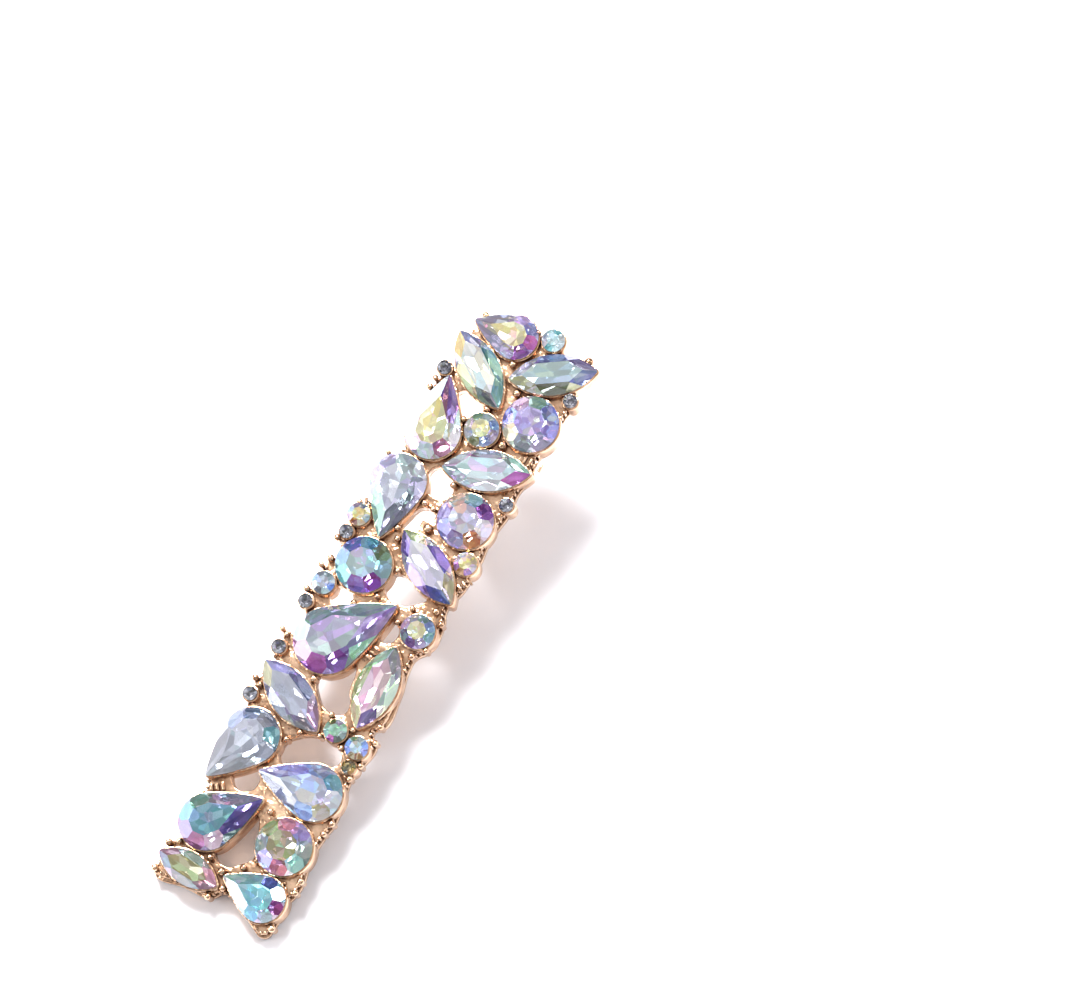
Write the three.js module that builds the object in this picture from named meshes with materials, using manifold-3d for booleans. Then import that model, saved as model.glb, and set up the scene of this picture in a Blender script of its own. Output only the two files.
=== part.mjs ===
// A crystal panel stud earring: one long pierced casting, set with thirty-five cut stones, with a stud
// post soldered behind its top end. It lies as it would by itself, on its lower edge and its post's tip.
// Millimetres, +Z up. The panel runs along +Y, its top end at +Y, and its stones look up.

import * as THREE from 'three';
import { mergeVertices } from 'three/addons/utils/BufferGeometryUtils.js';
import Module from 'manifold-3d';

const wasm = await Module();
wasm.setup();

// Stones: sizes across the girdle, as cut.
const ROUND_DIAMETER = 6.0;
const MEDIUM_ROUND_DIAMETER = 3.7;
const SMALL_ROUND_DIAMETER = 2.45;
const TINY_ROUND_DIAMETER = 1.5;
const PEAR_LENGTH = 9.2;
const PEAR_WIDTH = 6.0;
const LARGE_PEAR_LENGTH = 11.6;
const LARGE_PEAR_WIDTH = 7.1;
const SMALL_PEAR_LENGTH = 7.1;
const SMALL_PEAR_WIDTH = 4.9;
const NAVETTE_LENGTH = 9.3;
const NAVETTE_WIDTH = 4.4;
const SMALL_NAVETTE_LENGTH = 7.1;
const SMALL_NAVETTE_WIDTH = 3.45;
const POINT_RADIUS = 0.25;
const GIRDLE_THICKNESS = 0.15;
const CROWN_SLOPE = THREE.MathUtils.degToRad(41);
const BREAK_SLOPE = THREE.MathUtils.degToRad(58);
const PAVILION_SLOPE = THREE.MathUtils.degToRad(36);
const PAVILION_BREAK_SLOPE = THREE.MathUtils.degToRad(48);
const CROWN_SHARE = 0.215;
const PLAIN_CUT_WIDTH = 3.0;
const FINEST_DETAIL = 0.005;
const PEAR_LEAN_SHARE = 0.68;

// Casting: heights above its flat back.
const FLANGE_HEIGHT = 0.9;
const WEB_HEIGHT = 2.0;
const RIM_HEIGHT = 2.75;
const GIRDLE_LIFT = 0.25;
const CUP_OVERLAP = 0.1;
const CUP_PROUD = 0.15;
const SEAT_GAP = 0.12;
const WAIST_DEPTH = 0.3;
const GRAIN_TOP = 3.05;
const GRAIN_ROUNDING_SHARE = 0.6;
const RIB_PITCH = 1.0;
const RIB_WIDTH = 0.5;
const RIB_DEPTH = 0.27;
const CUT_MARGIN = 1;

// Stud: a domed pad against the back, a round collar bead, of which part sinks into the pad, and a plain pin.
const PAD_RADIUS = 1.8;
const PAD_HEIGHT = 1.1;
const PAD_EDGE_HEIGHT = 0.33;
const COLLAR_RADIUS = 1.5;
const COLLAR_HEIGHT = 2.7;
const COLLAR_STEPS = [135, 112, 90, 68, 45];
const PIN_RADIUS = 0.4;
const PIN_LENGTH = 10.4;
const PIN_ROUNDING = 0.2;
const STUD_SIDES = 14;
const OPENING_SIDES = 10;
const WELD_DISTANCE = 1e-5;

// Each cut's length and width, and the most of the panel's width that they take, in sixteenths.
const CUTS = {
  round: { shape: 'round', length: ROUND_DIAMETER, width: ROUND_DIAMETER, sides: 16, most: [6.0, 6.0] },
  medium_round: {
    shape: 'round', length: MEDIUM_ROUND_DIAMETER, width: MEDIUM_ROUND_DIAMETER, sides: 16, most: [3.7, 3.7],
  },
  small_round: {
    shape: 'round', length: SMALL_ROUND_DIAMETER, width: SMALL_ROUND_DIAMETER, sides: 8, most: [2.45, 2.45],
  },
  tiny_round: {
    shape: 'round', length: TINY_ROUND_DIAMETER, width: TINY_ROUND_DIAMETER, sides: 8, most: [1.5, 1.5],
  },
  pear: { shape: 'pear', length: PEAR_LENGTH, width: PEAR_WIDTH, most: [9.2, 6.0] },
  large_pear: { shape: 'pear', length: LARGE_PEAR_LENGTH, width: LARGE_PEAR_WIDTH, most: [11.6, 7.1] },
  small_pear: { shape: 'pear', length: SMALL_PEAR_LENGTH, width: SMALL_PEAR_WIDTH, most: [7.1, 4.9] },
  navette: { shape: 'navette', length: NAVETTE_LENGTH, width: NAVETTE_WIDTH, most: [9.3, 4.4] },
  small_navette: {
    shape: 'navette', length: SMALL_NAVETTE_LENGTH, width: SMALL_NAVETTE_WIDTH, most: [7.1, 3.45],
  },
};

// The panel is as wide as its stones ask for, and every place on it is in sixteenths of that width.
const crowding = Object.values(CUTS).flatMap((cut) => [cut.length / cut.most[0], cut.width / cut.most[1]]);
const sixteenth = Math.max(...crowding);

// Stones from the top end down: places of their centres, or of a pear's round end, and the turn of the
// point from straight across, in degrees.
const STONES = [
  { cut: 'small_pear', across: -2.75, along: 65.7, turn: 185, tint: 0xf2efc8 },
  { cut: 'small_round', across: 0.95, along: 67.3, turn: 0, tint: 0xe3f6f4 },
  { cut: 'navette', across: -4.3, along: 60.85, turn: -34, tint: 0xdce9ea },
  { cut: 'navette', across: 2.8, along: 64.1, turn: 34, tint: 0xe0f2ee },
  { cut: 'tiny_round', across: 5.8, along: 62.55, turn: 0, tint: 0xdfe2e4 },
  { cut: 'tiny_round', across: -7.65, along: 59.3, turn: 0, tint: 0xdfe2e4 },
  { cut: 'pear', across: -5.2, along: 52.75, turn: 104, tint: 0xf3f1cf },
  { cut: 'medium_round', across: -0.75, along: 55.4, turn: 0, tint: 0xe9f0d2 },
  { cut: 'round', across: 3.45, along: 58.4, turn: 10, tint: 0xb6c3ea },
  { cut: 'navette', across: 1.9, along: 51.9, turn: 24, tint: 0xb9b3dc },
  { cut: 'pear', across: -5.6, along: 46.45, turn: 282, tint: 0xcdc9dd },
  { cut: 'round', across: 2.75, along: 46.2, turn: 5, tint: 0xc9d2d3 },
  { cut: 'tiny_round', across: 5.6, along: 49.75, turn: 0, tint: 0xdfe2e4 },
  { cut: 'small_round', across: -7.4, along: 41.4, turn: 0, tint: 0xd5dde8 },
  { cut: 'tiny_round', across: -7.65, along: 39.2, turn: 0, tint: 0xdfe2e4 },
  { cut: 'round', across: -4.2, along: 37.05, turn: 12, tint: 0xb9cfd6 },
  { cut: 'navette', across: 1.8, along: 40.1, turn: -28, tint: 0xd3d3df },
  { cut: 'small_round', across: 5.1, along: 42.3, turn: 0, tint: 0xeeead2 },
  { cut: 'small_round', across: -6.9, along: 33.35, turn: 0, tint: 0xc6d2dd },
  { cut: 'tiny_round', across: -7.55, along: 30.8, turn: 0, tint: 0xdfe2e4 },
  { cut: 'large_pear', across: -3.4, along: 28.3, turn: 56, tint: 0xd6cfe0 },
  { cut: 'medium_round', across: 4.4, along: 33.75, turn: 0, tint: 0xeff0cf },
  { cut: 'tiny_round', across: -7.5, along: 25.3, turn: 0, tint: 0xdfe2e4 },
  { cut: 'navette', across: -3.65, along: 21.5, turn: -24, tint: 0xd9dcd8 },
  { cut: 'navette', across: 3.66, along: 26.6, turn: 95, tint: 0xd9ead2 },
  { cut: 'tiny_round', across: -7.55, along: 19.6, turn: 0, tint: 0xdfe2e4 },
  { cut: 'small_round', across: 2.3, along: 20.65, turn: 0, tint: 0xc3d3c6 },
  { cut: 'small_round', across: 5.15, along: 20.2, turn: 0, tint: 0xc9cdea },
  { cut: 'tiny_round', across: 5.45, along: 18.1, turn: 0, tint: 0xbfa86a },
  { cut: 'pear', across: -5.1, along: 15.9, turn: 252, tint: 0xb9c4d4 },
  { cut: 'pear', across: 3.7, along: 14.05, turn: 188, tint: 0xc5d3d6 },
  { cut: 'pear', across: -4.45, along: 5.95, turn: 51.5, tint: 0xa9c6cf },
  { cut: 'round', across: 3.9, along: 7.7, turn: 20, tint: 0xc4c8b4 },
  { cut: 'small_navette', across: -3.6, along: 0.85, turn: -2, tint: 0xd3cfd0 },
  { cut: 'small_pear', across: 4.72, along: 1.97, turn: 179, tint: 0xbfdbe2 },
];

// Edge of the web between the cups, across and along, from the lower left corner to the right.
const WEB_EDGE = [
  [-7.0, -1.33], [-3.4, -1.0], [-0.4, -0.6], [0.6, 0.5], [3.0, 0.1], [4.6, -0.85], [6.6, -1.33],
  [7.0, 0.0], [6.9, 2.6], [7.3, 4.8], [6.7, 8.0], [6.7, 10.6], [6.9, 12.2], [6.5, 15.0], [6.0, 17.2],
  [6.3, 18.9], [6.5, 21.4], [5.5, 22.5], [6.2, 23.3], [6.0, 27.0], [5.3, 30.0], [5.3, 31.3],
  [6.2, 32.7], [6.1, 35.8], [5.5, 37.3], [6.0, 40.0], [6.0, 43.3], [5.7, 46.0], [6.0, 49.7],
  [5.7, 51.6], [6.1, 53.8], [5.7, 55.2], [6.1, 58.0], [5.9, 61.0], [6.2, 62.8], [5.8, 63.8],
  [6.6, 66.3], [5.4, 67.1], [2.2, 66.3], [0.8, 67.7], [-0.9, 67.2], [-2.6, 67.4], [-6.9, 66.3],
  [-7.5, 64.8], [-7.7, 63.3], [-7.0, 60.8], [-7.9, 59.0], [-8.0, 56.9], [-7.6, 55.5], [-7.9, 53.0],
  [-7.3, 49.9], [-8.2, 48.4], [-7.5, 43.4], [-8.2, 42.0], [-8.2, 38.4], [-7.2, 37.0], [-8.0, 35.9],
  [-8.0, 34.2], [-8.1, 31.0], [-7.1, 29.6], [-7.0, 27.8], [-8.0, 27.0], [-8.0, 25.0], [-7.6, 23.5],
  [-8.1, 21.3], [-8.0, 19.3], [-7.4, 18.3], [-7.8, 15.5], [-7.3, 10.0], [-6.8, 9.3], [-7.2, 6.5],
  [-6.2, 3.3], [-7.0, 2.2], [-7.1, -0.7],
];

// Openings cut through the web, from the top end down.
const OPENINGS = [
  [[-5.0, 58.2], [-5.2, 57.1], [-4.1, 55.9], [-3.2, 56.0], [-2.0, 57.4], [-2.6, 57.9]],
  [[-3.2, 49.8], [-3.0, 47.6], [-1.9, 46.9], [-0.4, 47.6], [-0.4, 48.8], [-1.4, 49.7]],
  [[-2.1, 45.4], [-2.9, 44.0], [-3.3, 42.8], [-1.6, 43.0], [-1.4, 44.3], [-0.6, 44.8], [-0.6, 45.4]],
  [[-1.3, 37.6], [-1.3, 36.3], [-0.7, 35.5], [0.9, 35.3], [2.7, 36.4], [3.2, 37.3], [1.8, 37.7],
    [-0.4, 38.2]],
  [[-2.5, 24.9], [-1.4, 22.9], [0.1, 22.1], [1.8, 22.5], [2.0, 23.5], [1.1, 25.1], [0.7, 27.1], [0.2, 27.7],
    [-0.7, 26.9], [-1.5, 25.6]],
  [[-2.0, 16.9], [-1.4, 15.1], [-0.4, 15.2], [2.1, 17.0], [4.0, 17.6], [4.1, 18.6], [3.2, 19.3], [2.0, 19.6],
    [0.5, 19.2], [-1.0, 18.3]],
  [[-1.2, 9.1], [-2.0, 5.3], [-2.5, 3.8], [-0.5, 3.0], [0.7, 4.0], [1.5, 5.2], [0.5, 7.8], [-0.4, 9.1]],
];
const ROUND_OPENINGS = [
  { across: -4.7, along: 33.0, width: 2.4, height: 2.6 },
  { across: 1.5, along: 32.3, width: 2.2, height: 2.4 },
  { across: -3.6, along: 11.9, width: 3.0, height: 2.9 },
];

// Cast grains that stand beside the stones: a plain one's radius in sixteenths, then a row for each, across,
// along and its radius as a share of a plain one's.
const GRAIN_RADIUS = 0.38;
const GRAINS = [
  [-6.8, 66.3, 1.0], [5.3, 67.2, 1.3], [-0.95, 67.3, 0.9], [-1.6, 63.1, 1.0], [0.4, 60.6, 1.2],
  [-1.5, 57.6, 0.9], [-3.1, 55.5, 1.0], [1.9, 55.1, 1.3], [-8.0, 57.9, 0.9], [-8.0, 56.8, 1.0],
  [-8.2, 48.6, 0.8], [-0.4, 48.9, 1.0], [-2.0, 45.8, 1.1], [-0.9, 45.7, 0.9], [-0.4, 43.7, 1.4],
  [-8.1, 42.6, 0.9], [-3.2, 42.2, 0.9], [-2.6, 41.2, 1.0], [-8.2, 38.2, 1.0], [-0.8, 38.3, 0.9],
  [-7.7, 36.0, 1.1], [-1.3, 34.9, 0.9], [-8.2, 34.9, 0.9], [-8.2, 32.0, 1.0], [4.9, 36.5, 1.0],
  [2.6, 35.6, 0.9], [6.1, 35.6, 0.9], [2.0, 33.6, 0.9], [6.1, 32.5, 0.9], [5.1, 31.2, 1.0],
  [-3.1, 33.1, 1.0], [-8.2, 27.1, 0.9], [-7.5, 26.8, 0.9], [-2.6, 24.2, 1.0], [6.1, 23.3, 1.0],
  [1.0, 21.9, 0.9], [-8.0, 21.3, 1.0], [-7.2, 20.9, 0.9], [6.5, 21.6, 0.9], [3.75, 21.6, 0.9],
  [1.1, 19.4, 0.9], [3.7, 19.4, 0.9], [6.4, 18.8, 0.9], [-0.9, 18.7, 1.0], [-1.8, 17.4, 0.9],
  [6.1, 17.1, 0.9], [6.9, 12.2, 1.0], [6.7, 10.9, 0.9], [0.75, 10.1, 1.0], [7.2, 5.5, 1.0],
  [2.1, 5.1, 0.9], [7.3, 4.2, 0.9], [1.3, 3.8, 1.0], [-2.3, 3.0, 0.9], [-6.0, 2.8, 0.9],
  [-0.5, 2.3, 1.2], [-6.9, 2.2, 1.1], [0.5, 0.9, 1.0], [7.1, -0.1, 1.1], [-0.4, -0.6, 1.0],
  [-6.8, -0.8, 1.1],
];
const GRAIN_SIDES = 6;

// Where the stud is soldered, in sixteenths too.
const STUD = { across: -0.65, along: 58.9 };

// Facet directions round each shape, in degrees from the point: mains, the breaks between them, and the
// heels under its points.
const FACETS = {
  round: {
    mains: [0, 45, 90, 135, 180, 225, 270, 315],
    breaks: [22.5, 67.5, 112.5, 157.5, 202.5, 247.5, 292.5, 337.5],
    heels: [],
  },
  pear: {
    mains: [60, 90, 135, 180, 225, 270, 300],
    breaks: [68, 77, 112, 158, 202, 248, 283, 292],
    heels: [0],
  },
  navette: { mains: [52, 90, 128, 232, 270, 308], breaks: [70, 110, 250, 290], heels: [0, 180] },
};

const turned = (degrees) => THREE.MathUtils.degToRad(degrees);

function arc(x, y, radius, from, to, steps) {
  const points = [];
  for (let i = 0; i < steps; i += 1) {
    const angle = from + (to - from) * (i / steps);
    points.push(new THREE.Vector2(x + radius * Math.cos(angle), y + radius * Math.sin(angle)));
  }
  return points;
}

function roundOutline(cut, grow) {
  return arc(0, 0, cut.width / 2 + grow, Math.PI / cut.sides, 2 * Math.PI + Math.PI / cut.sides, cut.sides);
}

// Two equal bows that meet in rounded points.
function navetteOutline(cut, grow) {
  const reach = cut.length / 2 - POINT_RADIUS;
  const half = cut.width / 2 - POINT_RADIUS;
  const bow = (reach * reach + half * half) / (2 * half);
  const spread = Math.asin(reach / bow);
  const edge = POINT_RADIUS + grow;
  const quarter = Math.PI / 2;
  return [
    ...arc(reach, 0, edge, spread - quarter, quarter - spread, 2),
    ...arc(0, half - bow, bow + edge, quarter - spread, quarter + spread, 6),
    ...arc(-reach, 0, edge, quarter + spread, 3 * quarter - spread, 2),
    ...arc(0, bow - half, bow + edge, 3 * quarter - spread, 3 * quarter + spread, 6),
  ];
}

// A round end and two fuller sides that leave it smoothly and meet in a rounded point.
function pearOutline(cut, grow) {
  const round = cut.width / 2 - POINT_RADIUS;
  const reach = cut.length - cut.width / 2 - POINT_RADIUS;
  const lean = PEAR_LEAN_SHARE * Math.asin(round / reach);
  const side = (round * round + reach * reach - 2 * round * reach * Math.sin(lean))
    / (2 * (round - reach * Math.sin(lean)));
  const backX = -(side - round) * Math.sin(lean);
  const backY = -(side - round) * Math.cos(lean);
  const point = Math.atan2(-backY, reach - backX);
  const leave = Math.PI / 2 - lean;
  const edge = POINT_RADIUS + grow;
  return [
    ...arc(reach, 0, edge, -point, point, 2),
    ...arc(backX, backY, side + edge, point, leave, 3),
    ...arc(0, 0, round + edge, leave, 2 * Math.PI - leave, 10),
    ...arc(backX, -backY, side + edge, -leave, -point, 3),
  ];
}

const OUTLINES = { round: roundOutline, navette: navetteOutline, pear: pearOutline };

function outline(cut, grow) {
  return OUTLINES[cut.shape](cut, grow);
}

function toSolid(geometry) {
  const bare = geometry.clone();
  bare.deleteAttribute('normal');
  bare.deleteAttribute('uv');
  const merged = mergeVertices(bare, WELD_DISTANCE);
  const mesh = new wasm.Mesh({
    numProp: 3,
    vertProperties: new Float32Array(merged.attributes.position.array),
    triVerts: new Uint32Array(merged.index.array),
  });
  return new wasm.Manifold(mesh);
}

function toGeometry(solid) {
  const mesh = solid.asOriginal().simplify(FINEST_DETAIL).getMesh();
  const geometry = new THREE.BufferGeometry();
  geometry.setAttribute('position', new THREE.BufferAttribute(mesh.vertProperties, 3));
  geometry.setIndex(new THREE.BufferAttribute(mesh.triVerts, 1));
  geometry.computeVertexNormals();
  return geometry;
}

function slab(points, bottom, top) {
  const geometry = new THREE.ExtrudeGeometry(new THREE.Shape(points), {
    depth: top - bottom,
    bevelEnabled: false,
  });
  geometry.translate(0, 0, bottom);
  return toSolid(geometry);
}

function join(solids) {
  return solids.reduce((whole, solid) => whole.add(solid));
}

function pavilionDepth(cut) {
  return GIRDLE_THICKNESS + (cut.width / 2) * Math.tan(PAVILION_SLOPE);
}

// One cut stone about the top of its girdle: a blank trimmed by its crown and pavilion facets.
function cutStone(cut) {
  const edge = outline(cut, 0);
  const blankDepth = pavilionDepth(cut) + GIRDLE_THICKNESS;
  let stone = slab(edge, -blankDepth, cut.width * CROWN_SHARE);
  const trim = (degrees, slope, side, drop) => {
    const facing = new THREE.Vector2(Math.cos(turned(degrees)), Math.sin(turned(degrees)));
    const reach = Math.max(...edge.map((point) => point.dot(facing)));
    const across = Math.sin(slope);
    const up = Math.cos(slope);
    stone = stone.trimByPlane(
      [-facing.x * across, -facing.y * across, -side * up],
      -(reach * across + drop * up),
    );
  };
  const { mains, breaks, heels } = FACETS[cut.shape];
  mains.forEach((degrees) => trim(degrees, CROWN_SLOPE, 1, 0));
  mains.forEach((degrees) => trim(degrees, PAVILION_SLOPE, -1, GIRDLE_THICKNESS));
  if (cut.width > PLAIN_CUT_WIDTH) {
    breaks.forEach((degrees) => trim(degrees, BREAK_SLOPE, 1, 0));
    [...breaks, ...heels].forEach((degrees) => trim(degrees, PAVILION_BREAK_SLOPE, -1, GIRDLE_THICKNESS));
  }
  return toGeometry(stone);
}

function placeOnPanel(stone, points) {
  const turn = turned(stone.turn);
  const centre = onPanel(stone.across, stone.along);
  return points.map((point) => point.clone().rotateAround(new THREE.Vector2(0, 0), turn).add(centre));
}

function cupEdge(stone) {
  return placeOnPanel(stone, outline(CUTS[stone.cut], CUP_PROUD));
}

function onPanel(across, along) {
  return new THREE.Vector2(across * sixteenth, along * sixteenth);
}

// Each corner of a closed edge moved inwards by the same depth, square to its two sides.
function drawIn(points, depth) {
  return points.map((point, i) => {
    const before = points[(i + points.length - 1) % points.length];
    const after = points[(i + 1) % points.length];
    const way = after.clone().sub(before).normalize();
    return new THREE.Vector2(point.x - way.y * depth, point.y + way.x * depth);
  });
}

function lathe(profile, sides) {
  const geometry = new THREE.LatheGeometry(profile.map(([x, y]) => new THREE.Vector2(x, y)), sides);
  return geometry.rotateX(Math.PI / 2);
}

// A grain is a round-headed stem cast up from the web.
function grain([across, along, share]) {
  const radius = GRAIN_RADIUS * share * sixteenth;
  const rounding = radius * GRAIN_ROUNDING_SHARE;
  const geometry = lathe([
    [0, FLANGE_HEIGHT], [radius, FLANGE_HEIGHT], [radius, GRAIN_TOP - rounding], [rounding, GRAIN_TOP],
    [0, GRAIN_TOP],
  ], GRAIN_SIDES);
  const place = onPanel(across, along);
  return toSolid(geometry.translate(place.x, place.y, 0));
}

// Upright ribs on the waist of the casting, between its flange and the top of its web.
function ribs(edge) {
  const loop = new THREE.CurvePath();
  edge.forEach((point, i) => loop.add(new THREE.LineCurve(point, edge[(i + 1) % edge.length])));
  const count = Math.round(loop.getLength() / RIB_PITCH);
  const cups = STONES.map(cupEdge);
  const solids = [];
  for (let i = 0; i < count; i += 1) {
    const foot = loop.getPointAt(i / count);
    const way = loop.getTangentAt(i / count);
    const outward = new THREE.Vector2(way.y, -way.x);
    const ridge = foot.clone().addScaledVector(outward, RIB_DEPTH);
    if (cups.every((cup) => !holds(cup, ridge))) {
      const back = foot.clone().addScaledVector(outward, -WAIST_DEPTH);
      const left = back.clone().addScaledVector(way, -RIB_WIDTH);
      const right = back.clone().addScaledVector(way, RIB_WIDTH);
      solids.push(slab([left, ridge, right].reverse(), FLANGE_HEIGHT / 2, WEB_HEIGHT));
    }
  }
  return solids;
}

function holds(points, place) {
  let inside = false;
  points.forEach((a, i) => {
    const b = points[(i + 1) % points.length];
    const straddles = (a.y > place.y) !== (b.y > place.y);
    if (straddles && place.x < a.x + ((place.y - a.y) / (b.y - a.y)) * (b.x - a.x)) {
      inside = !inside;
    }
  });
  return inside;
}

function web() {
  const edge = WEB_EDGE.map(([across, along]) => onPanel(across, along));
  const waist = drawIn(edge, WAIST_DEPTH);
  const body = join([slab(edge, 0, FLANGE_HEIGHT), slab(waist, 0, WEB_HEIGHT), ...ribs(waist)]);
  const cuts = [
    ...OPENINGS.map((points) => points.map(([across, along]) => onPanel(across, along))),
    ...ROUND_OPENINGS.map(({ across, along, width, height }) => {
      const centre = onPanel(across, along);
      const ring = arc(0, 0, sixteenth / 2, 0, 2 * Math.PI, OPENING_SIDES);
      return ring.map((point) => new THREE.Vector2(point.x * width, point.y * height).add(centre));
    }),
  ];
  return body.subtract(join(cuts.map((points) => slab(points, -CUT_MARGIN, WEB_HEIGHT + CUT_MARGIN))));
}

// The stud hangs from the back: a domed pad, a collar bead and a pin with a rounded end.
function stud() {
  const collar = PAD_HEIGHT + COLLAR_HEIGHT - COLLAR_RADIUS;
  const neck = Math.asin(PIN_RADIUS / COLLAR_RADIUS);
  const tip = studReach();
  const profile = [[0, -FLANGE_HEIGHT / 2], [PAD_RADIUS, -FLANGE_HEIGHT / 2], [PAD_RADIUS, PAD_EDGE_HEIGHT]];
  COLLAR_STEPS.forEach((degrees) => {
    const angle = turned(degrees);
    profile.push([COLLAR_RADIUS * Math.sin(angle), collar + COLLAR_RADIUS * Math.cos(angle)]);
  });
  profile.push([PIN_RADIUS, collar + COLLAR_RADIUS * Math.cos(neck)]);
  profile.push([PIN_RADIUS, tip - PIN_ROUNDING]);
  profile.push([PIN_RADIUS - PIN_ROUNDING, tip]);
  profile.push([0, tip]);
  const geometry = lathe(profile, STUD_SIDES);
  geometry.rotateX(Math.PI);
  const place = onPanel(STUD.across, STUD.along);
  return toSolid(geometry.translate(place.x, place.y, 0));
}

function studReach() {
  return PAD_HEIGHT + COLLAR_HEIGHT + PIN_LENGTH;
}

// A stone's seat: its pavilion drops into a straight cup, and its girdle stands over the cup's rim.
function seat(stone) {
  const cut = CUTS[stone.cut];
  const floor = RIM_HEIGHT + GIRDLE_LIFT - pavilionDepth(cut) - SEAT_GAP;
  const well = slab(placeOnPanel(stone, outline(cut, -CUP_OVERLAP)), floor, RIM_HEIGHT + CUT_MARGIN);
  const clearance = slab(placeOnPanel(stone, outline(cut, SEAT_GAP)), RIM_HEIGHT, GRAIN_TOP + CUT_MARGIN);
  return well.add(clearance);
}

function castFrame() {
  const cups = STONES.map((stone) => slab(cupEdge(stone), 0, RIM_HEIGHT));
  const raised = join([web(), ...cups, ...GRAINS.map(grain), stud()]);
  return toGeometry(raised.subtract(join(STONES.map(seat))));
}

const panel = new THREE.Group();

const castMaterial = new THREE.MeshStandardMaterial({ color: 0xe6a878, roughness: 0.25, metalness: 1.0 });
const frame = new THREE.Mesh(castFrame(), castMaterial);
frame.name = 'cast_frame';
panel.add(frame);

const stoneGeometries = new Map(Object.entries(CUTS).map(([name, cut]) => [name, cutStone(cut)]));
STONES.forEach((stone, i) => {
  const material = new THREE.MeshStandardMaterial({ color: stone.tint, roughness: 0.05, metalness: 0.1 });
  const mesh = new THREE.Mesh(stoneGeometries.get(stone.cut), material);
  const place = onPanel(stone.across, stone.along);
  mesh.name = `${stone.cut}_stone_${String(i + 1).padStart(2, '0')}`;
  mesh.position.set(place.x, place.y, RIM_HEIGHT + GIRDLE_LIFT + GIRDLE_THICKNESS);
  mesh.rotation.z = turned(stone.turn);
  panel.add(mesh);
});

// The panel leans back on its pin, so that its lower edge and the pin's tip share the floor.
const feet = [...WEB_EDGE.map(([across, along]) => onPanel(across, along)), ...STONES.flatMap(cupEdge)];
const lowerEdge = Math.min(...feet.map((point) => point.y));
const pinEdge = STUD.along * sixteenth - PIN_RADIUS + PIN_ROUNDING;
panel.rotation.x = Math.atan(studReach() / (pinEdge - lowerEdge));

const group = new THREE.Group();
group.add(panel);
group.updateMatrixWorld(true);
const bounds = new THREE.Box3().setFromObject(group, true);
panel.position.set(
  -(bounds.min.x + bounds.max.x) / 2,
  -(bounds.min.y + bounds.max.y) / 2,
  -bounds.min.z,
);

export default group;
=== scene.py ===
import random
from math import asin, atan, atan2, cos, pi, radians, sin, tan

import bmesh
import bpy
from mathutils import Matrix, Vector


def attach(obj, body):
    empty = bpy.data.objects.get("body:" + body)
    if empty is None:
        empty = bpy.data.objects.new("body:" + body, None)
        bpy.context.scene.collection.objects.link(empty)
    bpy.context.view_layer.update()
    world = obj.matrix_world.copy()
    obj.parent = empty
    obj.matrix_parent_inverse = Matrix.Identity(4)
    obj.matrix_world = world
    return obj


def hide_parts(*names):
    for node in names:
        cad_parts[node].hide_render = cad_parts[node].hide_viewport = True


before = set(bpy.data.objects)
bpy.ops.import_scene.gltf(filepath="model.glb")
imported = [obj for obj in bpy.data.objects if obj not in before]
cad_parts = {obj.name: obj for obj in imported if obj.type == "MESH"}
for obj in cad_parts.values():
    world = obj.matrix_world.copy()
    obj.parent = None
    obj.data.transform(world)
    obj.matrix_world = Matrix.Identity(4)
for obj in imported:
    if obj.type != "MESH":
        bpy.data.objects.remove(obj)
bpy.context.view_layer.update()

MM = 0.001

# The view
# The earring lies face up and turned a little, and is seen from above its lower end. The lens is long, so
# that the panel keeps nearly the same width from end to end.
VIEW_TURN = radians(31.37)
VIEW_HEIGHT = radians(66)
VIEW_DISTANCE = 450 * MM
VIEW_CENTRE = Vector((5.74, 22.70, 0.26)) * MM
SENSOR_WIDTH = 36
LENS_LENGTH = 139.5
NEAREST_SEEN = 10 * MM

view_right = Vector((cos(VIEW_TURN), sin(VIEW_TURN), 0))
view_away = Vector((-sin(VIEW_TURN), cos(VIEW_TURN), 0))
towards_camera = -view_away * cos(VIEW_HEIGHT) + Vector((0, 0, 1)) * sin(VIEW_HEIGHT)

camera_data = bpy.data.cameras.new("camera")
camera_data.lens = LENS_LENGTH
camera_data.sensor_width = SENSOR_WIDTH
camera_data.clip_start = NEAREST_SEEN
camera = bpy.data.objects.new("camera", camera_data)
camera.location = VIEW_CENTRE + towards_camera * VIEW_DISTANCE
camera.rotation_euler = (-towards_camera).to_track_quat("-Z", "Y").to_euler()
bpy.context.collection.objects.link(camera)
bpy.context.scene.camera = camera
bpy.context.scene.view_settings.view_transform = "Standard"

# The table and the light
# A plain white sweep under soft boxes: a wide one behind to the left, which throws the shadow forwards to
# the right, and two lower ones. White panels with dark gaps stand all round, for the metal and the facets to
# reflect.
FLOOR_SIZE = 3.0
FLOOR_COLOUR = (0.92, 0.92, 0.955, 1)
SKY_BRIGHT = (0.985, 0.975, 1.0, 1)
SKY_DARK = (0.13, 0.13, 0.16, 1)
SKY_STRENGTH = 0.95
SKY_PANEL_SCALE = 3.4
SKY_PANEL_DETAIL = 0.5
SKY_LIFT = 0.30
GAP_EDGE = (0.63, 0.68)
FLOOR_ROUGHNESS = 0.55
FLOOR_SHEEN = 0.25
KEY_POWER = 17.0
KEY_SIZE = 0.28
SIDE_POWER = 1.5
SIDE_SIZE = (0.12, 0.5)
# Each soft box: its place to the right of the panel's middle, away and up, its power and its size, in metres.
SOFT_BOXES = {
    "key_box": ((-0.15, 0.38, 0.66), KEY_POWER, (KEY_SIZE, KEY_SIZE)),
    "left_box": ((-0.55, -0.15, 0.30), SIDE_POWER, SIDE_SIZE),
    "right_box": ((0.50, 0.10, 0.34), SIDE_POWER, SIDE_SIZE),
}


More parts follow.
